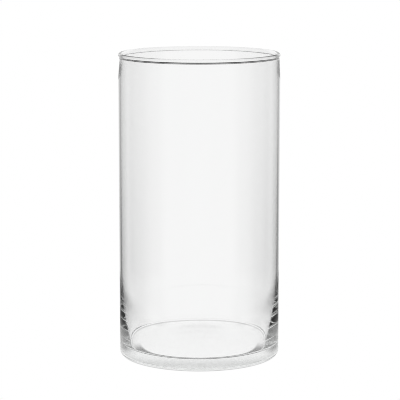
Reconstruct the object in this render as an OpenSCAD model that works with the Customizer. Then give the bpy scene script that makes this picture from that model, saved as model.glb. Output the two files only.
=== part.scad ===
// Clear glass cylinder vase: one piece of glass, open at the top.
// Millimetres, +Z up, origin at the centre of the foot ring, on the surface the vase stands on.

/* [Overall size] */
// Outside diameter of the straight wall
outer_diameter = 158.5; // [100:0.5:200]
// Height from the foot ring to the top of the lip
height = 300; // [230:5:500]

/* [Wall and base] */
// Thickness of the straight upper wall
wall = 2.2; // [1.8:0.1:3.2]
// Height of the inside floor above the foot ring
floor_height = 10.6; // [7:0.2:18]
// Height at which the wall starts to grow thicker towards the base
thickening_height = 85; // [50:5:120]
// Extra thickness the wall has gained where it reaches the floor
thickening = 6.2; // [3:0.2:9]
// Radius of the curve between wall and floor
floor_radius = 3; // [1:0.5:8]

/* [Foot] */
// Rounding of the bottom outer edge
foot_radius = 3.5; // [2:0.5:5]
// Width of the flat ring the vase stands on
foot_ring = 9; // [5:1:20]
// Depth of the shallow dish under the base
dish_depth = 0.2; // [0.2:0.1:1.5]

/* [Lip] */
// Radius of the round bead along the lip
lip_radius = 2.1; // [1.7:0.1:3]
// Radius of the hollow curves that join the bead to the wall
lip_blend = 2.2; // [1.5:0.1:4]
// How far the outside draws in just below the bead
neck_depth = 1; // [0.6:0.1:1.4]
// How far the inside draws in just below the bead
neck_inside = 0.4; // [0.1:0.1:0.8]
// Distance over which the wall returns to its full diameter below the neck
neck_length = 22; // [14:1:32]

/* [Hidden] */
$fn = 180;
outer_radius = outer_diameter / 2;
inner_radius = outer_radius - wall;
// The lower wall is one large arc, tangent to the straight bore.
arc_drop = thickening_height - floor_height;
arc_radius = (arc_drop * arc_drop + thickening * thickening) / (2 * thickening);
arc_x = inner_radius - arc_radius;
// The floor curve is tangent to that arc and to the floor.
curve_z = floor_height + floor_radius;
curve_x = arc_x + sqrt(pow(arc_radius - floor_radius, 2) - pow(thickening_height - curve_z, 2));
// Point at which the two arcs meet.
meet_x = arc_x + (curve_x - arc_x) * arc_radius / (arc_radius - floor_radius);
meet_z = thickening_height + (curve_z - thickening_height) * arc_radius / (arc_radius - floor_radius);
// The line through that point and the centre of the floor curve, carried on past the bore.
side_x = inner_radius + 1;
side_z = meet_z + (meet_z - curve_z) / (meet_x - curve_x) * (side_x - meet_x);
// The underside is a shallow spherical dish inside the foot ring.
dish_edge = outer_radius - foot_radius - foot_ring;
dish_radius = (dish_edge * dish_edge + dish_depth * dish_depth) / (2 * dish_depth);
// Centre of the bead, which reaches out to the full diameter.
lip_x = outer_radius - lip_radius;
lip_z = height - lip_radius;
// Hollow curve outside: tangent to the bead, upright where it meets the neck.
hollow_out_x = outer_radius - neck_depth + lip_blend;
hollow_out_z = lip_z - sqrt(pow(lip_radius + lip_blend, 2) - pow(hollow_out_x - lip_x, 2));
// Hollow curve inside, in the same way.
hollow_in_x = inner_radius - neck_inside - lip_blend;
hollow_in_z = lip_z - sqrt(pow(lip_radius + lip_blend, 2) - pow(lip_x - hollow_in_x, 2));
// The neck is two arcs each side: hollow at the top, then round as it meets the straight wall.
neck_half = neck_length / 2;
neck_out_radius = (neck_half * neck_half + pow(neck_depth / 2, 2)) / neck_depth;
neck_in_radius = (neck_half * neck_half + pow(neck_inside / 2, 2)) / neck_inside;

module place(x, z) {
    translate([x, z])
        children();
}

// Region outside a neck: from radius r, drawn in by depth over the neck length, ending at height z.
// Its edge bulges in the lower half and is hollow in the upper half.
module neck(r, z, depth, arc) {
    difference() {
        place(0, z - neck_half)
            square([r - depth / 2, neck_half]);
        place(r - depth + arc, z)
            circle(r = arc, $fn = 1440);
    }
    intersection() {
        place(0, z - neck_length)
            square([r, neck_half]);
        place(r - arc, z - neck_length)
            circle(r = arc, $fn = 1440);
    }
}

// Part between the neck and the middle of the bead, on its outer side.
module hollow_out() {
    difference() {
        place(0, hollow_out_z)
            polygon([
                [0, 0],
                [hollow_out_x, 0],
                [lip_x, lip_z - hollow_out_z],
                [0, lip_z - hollow_out_z],
            ]);
        place(hollow_out_x, hollow_out_z)
            circle(r = lip_blend);
    }
}

// Outside of the vase as half a section, foot to lip.
module outside() {
    square([outer_radius - foot_radius, foot_radius]);
    place(outer_radius - foot_radius, foot_radius)
        circle(r = foot_radius);
    place(0, foot_radius)
        square([outer_radius, hollow_out_z - neck_length - foot_radius]);
    neck(outer_radius, hollow_out_z, neck_depth, neck_out_radius);
    hollow_out();
    place(lip_x, lip_z)
        circle(r = lip_radius);
}

// Inside of the vase as half a section: floor, floor curve, thickening wall, bore, neck, mouth.
module inside() {
    place(0, floor_height)
        square([curve_x, curve_z - floor_height]);
    intersection() {
        place(curve_x, curve_z)
            circle(r = floor_radius);
        polygon([
            [curve_x, curve_z],
            [curve_x, floor_height - 1],
            [meet_x + floor_radius, floor_height - 1],
            [meet_x + floor_radius, meet_z + (meet_z - curve_z) / (meet_x - curve_x) * floor_radius],
        ]);
    }
    intersection() {
        place(arc_x, thickening_height)
            circle(r = arc_radius, $fn = 2880);
        polygon([
            [0, curve_z],
            [curve_x, curve_z],
            [side_x, side_z],
            [side_x, thickening_height],
            [0, thickening_height],
        ]);
    }
    place(0, thickening_height)
        square([inner_radius, hollow_in_z - neck_length - thickening_height]);
    neck(inner_radius, hollow_in_z, neck_inside, neck_in_radius);
    // mouth: everything within the hollow curve and the bead
    place(0, hollow_in_z)
        square([hollow_in_x, height + 1 - hollow_in_z]);
    intersection() {
        place(hollow_in_x, hollow_in_z)
            circle(r = lip_blend);
        place(hollow_in_x, hollow_in_z)
            square([lip_blend, lip_blend]);
    }
    place(hollow_in_x, hollow_in_z)
        polygon([
            [0, 0],
            [lip_x - hollow_in_x, lip_z - hollow_in_z],
            [lip_x - hollow_in_x, height + 1 - hollow_in_z],
            [0, height + 1 - hollow_in_z],
        ]);
}

module underside() {
    place(0, dish_depth - dish_radius)
        circle(r = dish_radius, $fn = 2880);
}

module glass_cylinder() {
    color([0.86, 0.92, 0.92])
        rotate_extrude()
            difference() {
                outside();
                difference() {
                    inside();
                    place(lip_x, lip_z)
                        circle(r = lip_radius);
                }
                intersection() {
                    underside();
                    square([outer_radius, floor_height]);
                }
            }
}

glass_cylinder();
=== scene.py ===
import math

import bpy
import numpy as np
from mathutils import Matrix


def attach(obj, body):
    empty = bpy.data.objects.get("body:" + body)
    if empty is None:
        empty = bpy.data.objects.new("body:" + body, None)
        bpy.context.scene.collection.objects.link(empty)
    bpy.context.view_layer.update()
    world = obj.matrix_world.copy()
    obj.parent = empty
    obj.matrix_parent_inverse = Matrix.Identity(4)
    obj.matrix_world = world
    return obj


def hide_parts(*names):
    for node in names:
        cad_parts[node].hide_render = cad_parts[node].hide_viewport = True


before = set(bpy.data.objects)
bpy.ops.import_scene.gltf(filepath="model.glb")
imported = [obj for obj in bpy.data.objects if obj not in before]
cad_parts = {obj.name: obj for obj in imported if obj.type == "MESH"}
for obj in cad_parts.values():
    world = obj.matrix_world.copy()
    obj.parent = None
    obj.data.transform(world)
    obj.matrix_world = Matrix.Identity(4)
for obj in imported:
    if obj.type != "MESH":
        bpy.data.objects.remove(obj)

scene = bpy.context.scene
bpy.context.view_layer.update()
print("frame loaded:", sorted(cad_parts))


class Shade:
    # wraps one socket, so that shader maths can be written as expressions
    def __init__(self, tree, socket):
        self.tree = tree
        self.socket = socket

    def maths(self, operation, *others):
        return makeNode(self.tree, "ShaderNodeMath", {"operation": operation},
                        dict(enumerate([self, *others])))

    def vector(self, operation, *others, out=0):
        return makeNode(self.tree, "ShaderNodeVectorMath", {"operation": operation},
                        dict(enumerate([self, *others])), out)

    def __add__(self, other): return self.maths("ADD", other)
    def __radd__(self, other): return self.maths("ADD", other)
    def __rsub__(self, other): return self.maths("MULTIPLY", -1.0).maths("ADD", other)
    def __mul__(self, other): return self.maths("MULTIPLY", other)
    def __rmul__(self, other): return self.maths("MULTIPLY", other)


def makeNode(tree, kind, settings, inputs, out=0):
    # one node: its settings first, then the values or links of its sockets
    node = tree.nodes.new(kind)
    for name, value in settings.items():
        setattr(node, name, value)
    for name, value in inputs.items():
        if isinstance(value, Shade):
            tree.links.new(value.socket, node.inputs[name])
        else:
            node.inputs[name].default_value = value
    return Shade(tree, node.outputs[out]) if node.outputs else None


def newMaterial(name):
    material = bpy.data.materials.new(name)
    material.use_nodes = True
    material.node_tree.nodes.clear()
    return material, material.node_tree


def rampMask(value, low, high):
    # 0 below low, 1 above high, smooth between
    return makeNode(value.tree, "ShaderNodeMapRange", {"interpolation_type": "SMOOTHSTEP"},
                    {"Value": value, "From Min": low, "From Max": high, "To Min": 0.0, "To Max": 1.0})


def objectPlace(tree):
    # the point in the object's own metres, as a vector and as its x, y and z
    where = makeNode(tree, "ShaderNodeTexCoord", {}, {}, "Object")
    parts = makeNode(tree, "ShaderNodeSeparateXYZ", {}, {0: where}).socket.node.outputs
    return where, [Shade(tree, parts[k]) for k in range(3)]


def addMesh(name, verts, faces):
    mesh = bpy.data.meshes.new(name)
    mesh.from_pydata(verts, [], faces)
    mesh.update()
    piece = bpy.data.objects.new(name, mesh)
    scene.collection.objects.link(piece)
    return piece


# The vase, in metres. Its section follows the CAD one, but the inside and the neck lean a little to
# one side, as in glass that was blown and drawn.
vase = {
    "radius": 0.07925,
    "height": 0.3,
    "wall": 0.0022,
    "floorHeight": 0.0106,
    "thickeningHeight": 0.085,
    "thickening": 0.0062,
    "floorRadius": 0.003,
    "footRadius": 0.0035,
    "footRing": 0.009,
    "dishDepth": 0.0002,
    "lipRadius": 0.0021,
    "lipBlend": 0.0022,
    "neckDepth": 0.001,
    "neckInside": 0.0004,
    "neckLength": 0.022,
    "neckLean": 0.0005,        # sideways lean of the neck, before it fades towards the lip
    "neckTop": 0.004,          # depth below the top at which the lean would be full
    "leanStop": 0.0045,        # depth below the top at which it has faded to nothing
    "leanFade": 0.003,         # over this distance
    "lean": 0.12,              # share by which the thickening is more on one side, less on the other
    "segments": 320,
    # points along the stretches of the section
    "dishRows": 24,
    "footRows": 22,
    "wallRows": 40,
    "neckRows": 14,
    "hollowRows": 10,
    "lipRows": 44,
    "boreRows": 36,
    "arcRows": 48,
    "curveRows": 24,
    "floorRows": 16,
}


def arc(centreR, centreZ, radius, start, end, count):
    # points on a circle: centre + radius * (cos a, sin a), a from start to end in degrees
    a = np.radians(np.linspace(start, end, count))
    return np.stack([centreR + radius * np.cos(a), centreZ + radius * np.sin(a)], 1)


def glassProfile(v):
    # half section from the middle of the underside, round the outside and the lip, down the inside
    # to the middle of the floor, as rows of (r, z) with a flag that is 1 on the inside
    outer, height = v["radius"], v["height"]
    bore = outer - v["wall"]
    # underside: r from 0 to edge, z = depth - ball + sqrt(ball^2 - r^2); then the flat foot ring
    edge = outer - v["footRadius"] - v["footRing"]
    dishR = np.linspace(0, edge, v["dishRows"])
    ball = (edge**2 + v["dishDepth"]**2) / (2 * v["dishDepth"])
    dish = np.stack([dishR, v["dishDepth"] - ball + np.sqrt(ball**2 - dishR**2)], 1)
    ring = np.array([[edge + v["footRing"] * share, 0.0] for share in (0.33, 0.67)])
    foot = arc(outer - v["footRadius"], v["footRadius"], v["footRadius"], -90, 0, v["footRows"])
    # lip: a round bead, joined to the wall by a hollow curve on each side
    lipR, blend = v["lipRadius"], v["lipBlend"]
    lipX, lipZ = outer - lipR, height - lipR
    outX = outer - v["neckDepth"] + blend
    outTurn = math.acos((outX - lipX) / (lipR + blend))
    outZ = lipZ - (lipR + blend) * math.sin(outTurn)
    inX = bore - v["neckInside"] - blend
    inTurn = math.acos((lipX - inX) / (lipR + blend))
    inZ = lipZ - (lipR + blend) * math.sin(inTurn)
    hollowOut = arc(outX, outZ, blend, 180, 180 - math.degrees(outTurn), v["hollowRows"])[1:]
    lip = arc(lipX, lipZ, lipR, -math.degrees(outTurn), 180 + math.degrees(inTurn), v["lipRows"])[1:]
    hollowIn = arc(inX, inZ, blend, math.degrees(inTurn), 0, v["hollowRows"])[1:]
    # walls with a drawn-in neck: r = wall radius - depth * (0.5 - 0.5 cos(pi t)), t from 0 to 1
    # going up
    t = np.linspace(0, 1, v["neckRows"])[1:]
    drawn = 0.5 - 0.5 * np.cos(np.pi * t)
    z = np.linspace(v["footRadius"], outZ - v["neckLength"], v["wallRows"])[1:]
    wallOut = np.stack([np.full_like(z, outer), z], 1)
    neckOut = np.stack([outer - v["neckDepth"] * drawn, outZ - v["neckLength"] * (1 - t)], 1)
    neckIn = np.stack([bore - v["neckInside"] * drawn, inZ - v["neckLength"] * (1 - t)], 1)[-2::-1]
    z = np.linspace(inZ - v["neckLength"], v["thickeningHeight"], v["boreRows"])
    wallIn = np.stack([np.full_like(z, bore), z], 1)
    # lower inside: one large arc, the curve at the floor, the floor
    drop = v["thickeningHeight"] - v["floorHeight"]
    big = (drop**2 + v["thickening"]**2) / (2 * v["thickening"])
    bigX = bore - big
    curveZ = v["floorHeight"] + v["floorRadius"]
    curveX = bigX + math.sqrt((big - v["floorRadius"])**2 - (v["thickeningHeight"] - curveZ)**2)
    meet = math.degrees(math.atan2(curveZ - v["thickeningHeight"], curveX - bigX))
    lower = arc(bigX, v["thickeningHeight"], big, 0, meet, v["arcRows"])[1:]
    curve = arc(curveX, curveZ, v["floorRadius"], meet, -90, v["curveRows"])[1:]
    r = np.linspace(curveX, 0, v["floorRows"])[1:]
    flat = np.stack([r, np.full_like(r, v["floorHeight"])], 1)
    outside = np.concatenate([dish, ring, foot, wallOut, neckOut, hollowOut, lip, hollowIn])
    inside = np.concatenate([neckIn, wallIn, lower, curve, flat])
    flag = np.concatenate([np.zeros(len(outside)), np.ones(len(inside))])
    return np.concatenate([outside, inside]), flag


def revolve(name, r, z, turns):
    # surface (r cos t, r sin t, z) on a grid of profile rows by turns; the first and last rows are
    # single points on the axis, closed with triangles
    rows, cols = r.shape
    t = turns[None, :]
    grid = np.stack([r * np.cos(t), r * np.sin(t), z], -1)[1:-1].reshape(-1, 3)
    ends = np.array([[0, 0, z[0, 0]], [0, 0, z[-1, 0]]])
    i, j = np.meshgrid(np.arange(rows - 3), np.arange(cols), indexing="ij")
    a = i * cols + j
    b = i * cols + (j + 1) % cols
    quads = np.stack([a, b, b + cols, a + cols], -1).reshape(-1, 4)
    j = np.arange(cols)
    k = (j + 1) % cols
    last = (rows - 3) * cols
    first = np.stack([np.full(cols, len(grid)), k, j], -1)
    closing = np.stack([np.full(cols, len(grid) + 1), last + j, last + k], -1)
    faces = quads.tolist() + first.tolist() + closing.tolist()
    piece = addMesh(name, np.concatenate([grid, ends]).tolist(), faces)
    piece.data.shade_smooth()
    return piece


def makeVase(v):
    points, flag = glassProfile(v)
    flag = flag[:, None]
    turns = np.linspace(0, 2 * np.pi, v["segments"], endpoint=False)
    r = np.repeat(points[:, :1], len(turns), 1)
    z = np.repeat(points[:, 1:], len(turns), 1)
    # inside: r - lean * thickening * n * (r / bore)^4 * cos t, n from 0 at the bore to 1 at the floor
    bore = v["radius"] - v["wall"]
    n = np.clip((bore - r) / v["thickening"], 0, 1)
    r = r - flag * v["lean"] * v["thickening"] * n * (r / bore)**4 * np.cos(turns)
    # neck: r + neckLean * m * cos t, m = up^2 * fade, up from 0 below the neck to 1 at neckTop, and
    # fade from 1 to 0 over leanFade, ending at leanStop
    up = (z - v["height"] + v["neckTop"] + v["neckLength"]) / v["neckLength"]
    fade = (v["height"] - v["leanStop"] - z) / v["leanFade"]
    m = np.clip(up, 0, 1)**2 * np.clip(fade, 0, 1)
    return revolve("vaseGlass", r + v["neckLean"] * m * np.cos(turns), z, turns)


# How the glass is made and worn: slow waves and upright drawing marks in the wall, seed bubbles,
# and an underside scuffed by tables. Heights, depths and distances are in metres.
look = {
    "colour": (0.998, 0.999, 0.9985, 1),
    "index": 1.5,
    "absorbed": (0.2, 0.3, 0.25, 1),
    "absorption": 0.5,
    "waveScale": 9.0,
    "wave": 0.05,
    "waveDepth": 0.001,
    "drawnScale": (60.0, 60.0, 4.0),
    "drawn": 0.02,
    "drawnDepth": 0.0002,
    "seedScale": 55.0,
    "seed": 0.25,
    "seedDepth": 0.0002,
    "seedSize": (0.01, 0.05),      # as shares of a cell
    "seedChance": 0.93,            # cells whose random number is above this hold a seed
    "underside": 0.15,             # roughness of the scuffed middle
    "ringRough": 0.03,             # and of the foot ring
    "undersideTop": (0.0004, 0.0012),
    "scuffFrom": (0.058, 0.064),   # distance from the axis over which the one turns into the other
    "scuffScale": 300.0,
    "scuffLeast": 0.8,
    "scuffSpread": 0.4,
}


def glassMaterial():
    material, tree = newMaterial("clear glass")
    where, (_, _, high) = objectPlace(tree)
    waves = makeNode(tree, "ShaderNodeTexNoise", {},
                     {"Vector": where, "Scale": look["waveScale"], "Detail": 1.0})
    streaks = makeNode(tree, "ShaderNodeTexNoise", {},
                       {"Vector": where.vector("MULTIPLY", look["drawnScale"]), "Scale": 1.0,
                        "Detail": 2.0})
    # a seed is a small round bump in a few cells of a cell pattern
    cells = makeNode(tree, "ShaderNodeTexVoronoi", {}, {"Vector": where, "Scale": look["seedScale"]},
                     "Distance")
    tint = Shade(tree, cells.socket.node.outputs["Color"])
    chance = makeNode(tree, "ShaderNodeSeparateColor", {}, {0: tint})
    seeds = chance.maths("GREATER_THAN", look["seedChance"]) * (1.0 - rampMask(cells, *look["seedSize"]))
    waveBump = makeNode(tree, "ShaderNodeBump", {},
                        {"Height": waves, "Strength": look["wave"], "Distance": look["waveDepth"]},
                        "Normal")
    drawnBump = makeNode(tree, "ShaderNodeBump", {},
                         {"Height": streaks, "Strength": look["drawn"],
                          "Distance": look["drawnDepth"], "Normal": waveBump}, "Normal")
    seedBump = makeNode(tree, "ShaderNodeBump", {},
                        {"Height": seeds, "Strength": look["seed"],
                         "Distance": look["seedDepth"], "Normal": drawnBump}, "Normal")
    # the underside is scuffed in the middle and nearly clear along the foot ring
    away = where.vector("MULTIPLY", (1, 1, 0)).vector("LENGTH", out=1)
    low = 1.0 - rampMask(high, *look["undersideTop"])
    middle = 1.0 - rampMask(away, *look["scuffFrom"])
    scuff = makeNode(tree, "ShaderNodeTexNoise", {},
                     {"Vector": where, "Scale": look["scuffScale"], "Detail": 3.0})
    worn = look["ringRough"] + (look["underside"] - look["ringRough"]) * middle
    uneven = look["scuffLeast"] + look["scuffSpread"] * scuff
    glass = makeNode(tree, "ShaderNodeBsdfPrincipled", {}, {
        "Base Color": look["colour"], "IOR": look["index"], "Transmission Weight": 1.0,
        "Roughness": low * worn * uneven, "Normal": seedBump})
    depth = makeNode(tree, "ShaderNodeVolumeAbsorption", {},
                     {"Color": look["absorbed"], "Density": look["absorption"]})
    makeNode(tree, "ShaderNodeOutputMaterial", {}, {"Surface": glass, "Volume": depth})
    return material


# The studio, which stands still: a round surround close to the vase, white but for grey sides,
# a black card over the mouth, a mat round the foot, and the table under it, which carries painted
# shadow round and under the foot and a painted shade along its front. Strengths are from 0,
# black, to 1, white, places are in metres and turns in radians.
studio = {
    "floorHalf": 30,
    "floorZ": -0.0003,
    "sides": 96,                   # straight sides of every round card
    "ringRadius": 0.25,
    "ringHeight": 1.0,
    "behind": 0.93,
    "beside": 0.4,
    "besideLow": 0.16,
    "turnFrom": (0.4, 0.8),        # from straight behind the vase to its sides
    "turnTo": (1.75, 2.2),         # and from its sides to the front
    "lowDark": (0.03, 0.25),
    "highDark": (0.5, 0.56),
    "topCardZ": 0.33,
    "topCardBack": 0.079,
    "topCardHalf": 0.16,
    "matRadius": 0.0795,
    "matZ": 0.0002,
    "matFade": (0.09, 0.22),
    "underRadius": 0.0753,
    "underZ": -0.0001,
    # painted shadow on the table: a faint one under the whole vase, a deeper ring under the foot
    "underVase": 0.945,
    "paintedContactShadow": 0.6,
    "paintedShadowFrom": (0.070, 0.073),
    "paintedShadowTo": (0.0755, 0.078),
    # painted shade on the table: a darker crescent along the front of the foot
    "paintedCrescentLevel": 0.05,
    "paintedCrescentFrom": (0.059, 0.062),
    "paintedCrescentTo": (0.068, 0.071),
    "paintedCrescentEnds": (1.07, 1.47),     # from straight in front to each end of the crescent
    "worldDark": 0.05,
    "worldTop": 0.4,
    "darkFrom": (0.12, 0.3),
    "topFrom": (0.9, 0.95),
}


def emissionMaterial(name, strengthOf):
    material, tree = newMaterial(name)
    light = makeNode(tree, "ShaderNodeEmission", {},
                     {"Color": (1, 1, 1, 1), "Strength": strengthOf(tree)})
    makeNode(tree, "ShaderNodeOutputMaterial", {}, {"Surface": light})
    return material


def addCard(name, verts, faces, strengthOf):
    # a card of the studio that lights the glass but is not seen itself
    piece = addMesh(name, verts, faces)
    piece.data.materials.append(emissionMaterial(name, strengthOf))
    piece.visible_camera = False
    piece.visible_shadow = False


def floorLevelWithPaintedShadow(where):
    # the table is darker where the foot of the vase stands on it: painted shadow, faint under the whole
    # vase and deeper in a ring under the foot
    s = studio
    away = where.vector("LENGTH", out=1)
    paintedShadowRing = rampMask(away, *s["paintedShadowFrom"]) * (1.0 - rampMask(away, *s["paintedShadowTo"]))
    under = 1.0 - rampMask(away, *s["paintedShadowTo"])
    return (1.0 - under * (1.0 - s["underVase"])) * (1.0 - paintedShadowRing * (1.0 - s["paintedContactShadow"]))


def sideMask(across, along):
    # 1 at the two sides of the vase, 0 behind it and in front of it
    turn = across.maths("ABSOLUTE").maths("ARCTAN2", along)
    return rampMask(turn, *studio["turnFrom"]) * (1.0 - rampMask(turn, *studio["turnTo"]))


def ringStrength(tree):
    # white behind and in front, grey at the two sides and darker low down there, dark high up
    s = studio
    _, (across, along, high) = objectPlace(tree)
    aside = sideMask(across, along)
    beside = s["besideLow"] + (s["beside"] - s["besideLow"]) * rampMask(high, *s["lowDark"])
    level = (1.0 - aside) * s["behind"] + aside * beside
    return level * (1.0 - rampMask(high, *s["highDark"]))


def matStrength(tree):
    # white near the foot, fading to the foot of the surround at the two sides
    s = studio
    where, (across, along, _) = objectPlace(tree)
    aside = sideMask(across, along)
    away = where.vector("MULTIPLY", (1, 1, 0)).vector("LENGTH", out=1)
    return s["behind"] - aside * rampMask(away, *s["matFade"]) * (s["behind"] - s["besideLow"])


def underStrength(tree):
    # the table under the vase, with its painted shadow and a painted shade: a darker crescent along the
    # front of the foot
    s = studio
    where, (across, along, _) = objectPlace(tree)
    away = where.vector("LENGTH", out=1)
    turn = across.maths("ABSOLUTE").maths("ARCTAN2", along * -1.0)
    # painted shade: a crescent just inside the foot, on its front side only
    paintedCrescent = rampMask(away, *s["paintedCrescentFrom"]) * (1.0 - rampMask(away, *s["paintedCrescentTo"]))
    paintedCrescent = paintedCrescent * (1.0 - rampMask(turn, *s["paintedCrescentEnds"]))
    return floorLevelWithPaintedShadow(where) * (1.0 - paintedCrescent * (1.0 - s["paintedCrescentLevel"]))


def circleVerts(radius, z):
    # (radius cos a, radius sin a, z), a in even steps round the circle
    a = np.linspace(0, 2 * np.pi, studio["sides"], endpoint=False)
    return np.stack([radius * np.cos(a), radius * np.sin(a), np.full_like(a, z)], 1).tolist()


def rectangleVerts(left, right, front, back, z):
    return [(left, front, z), (right, front, z), (right, back, z), (left, back, z)]


def addStudio(s):
    square = [(0, 1, 2, 3)]
    half = s["floorHalf"]
    floor = addMesh("studioFloor", rectangleVerts(-half, half, -half, half, s["floorZ"]), square)
    # the floor glows evenly, but for painted shadow round and under the foot
    floor.data.materials.append(
        emissionMaterial("pale floor with painted shadow", lambda tree: floorLevelWithPaintedShadow(objectPlace(tree)[0])))
    sides = s["sides"]
    disc = [tuple(range(sides))]
    bands = [(k, (k + 1) % sides, (k + 1) % sides + sides, k + sides) for k in range(sides)]
    radius, matZ = s["ringRadius"], s["matZ"]
    addCard("surround", circleVerts(radius, 0.0) + circleVerts(radius, s["ringHeight"]), bands,
            ringStrength)
    addCard("mat", circleVerts(s["matRadius"], matZ) + circleVerts(radius, matZ), bands, matStrength)
    # the table under the vase, seen only through the glass, with painted shadow and a painted crescent
    # of shade
    addCard("under", circleVerts(s["underRadius"], s["underZ"]), disc, underStrength)
    half = s["topCardHalf"]
    addCard("topCard", rectangleVerts(-half, half, -half, s["topCardBack"], s["topCardZ"]), square,
            lambda tree: 0.0)


def addWorld(s):
    # white along the horizon, dark higher up, grey overhead
    world = bpy.data.worlds.new("studio")
    scene.world = world
    world.use_nodes = True
    tree = world.node_tree
    tree.nodes.clear()
    direction = makeNode(tree, "ShaderNodeTexCoord", {}, {}, "Generated")
    axes = makeNode(tree, "ShaderNodeSeparateXYZ", {}, {0: direction})
    upward = Shade(tree, axes.socket.node.outputs[2])
    dark, top = rampMask(upward, *s["darkFrom"]), rampMask(upward, *s["topFrom"])
    sky = 1.0 + dark * (s["worldDark"] - 1.0) + top * (s["worldTop"] - s["worldDark"])
    light = makeNode(tree, "ShaderNodeBackground", {}, {"Color": (1, 1, 1, 1), "Strength": sky})
    makeNode(tree, "ShaderNodeOutputWorld", {}, {"Surface": light})


# The camera looks along y, tilted down by pitch. Metres, degrees, and millimetres for the lens.
camera = {
    "distance": 1.763,
    "height": 0.452,
    "pitch": 9.5955,
    "lens": 162.63,
    "sensor": 36,
    "shiftX": 0.00195,
    "near": 0.01,
    "far": 200,
}


def addCamera(c):
    camData = bpy.data.cameras.new("camera")
    cam = bpy.data.objects.new("camera", camData)
    scene.collection.objects.link(cam)
    cam.location = (0, -c["distance"], c["height"])
    cam.rotation_euler = (math.radians(90 - c["pitch"]), 0, 0)
    camData.sensor_width = c["sensor"]
    camData.lens = c["lens"]
    camData.shift_x = c["shiftX"]
    camData.clip_start, camData.clip_end = c["near"], c["far"]
    scene.camera = cam


def setTonesAndPaths():
    # tones are shown as they are, and light may pass many faces of glass
    scene.view_settings.view_transform = "Standard"
    scene.view_settings.look = "None"
    scene.cycles.use_denoising = True
    scene.cycles.filter_width = 1.0
    scene.cycles.max_bounces = 24
    scene.cycles.glossy_bounces = 16
    scene.cycles.transmission_bounces = 24


glass = makeVase(vase)
glass.data.materials.append(glassMaterial())
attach(glass, "root")
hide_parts("glass_cylinder")
print("vase made:", len(glass.data.polygons), "faces")

addCamera(camera)
addStudio(studio)
addWorld(studio)
setTonesAndPaths()
print("studio made")
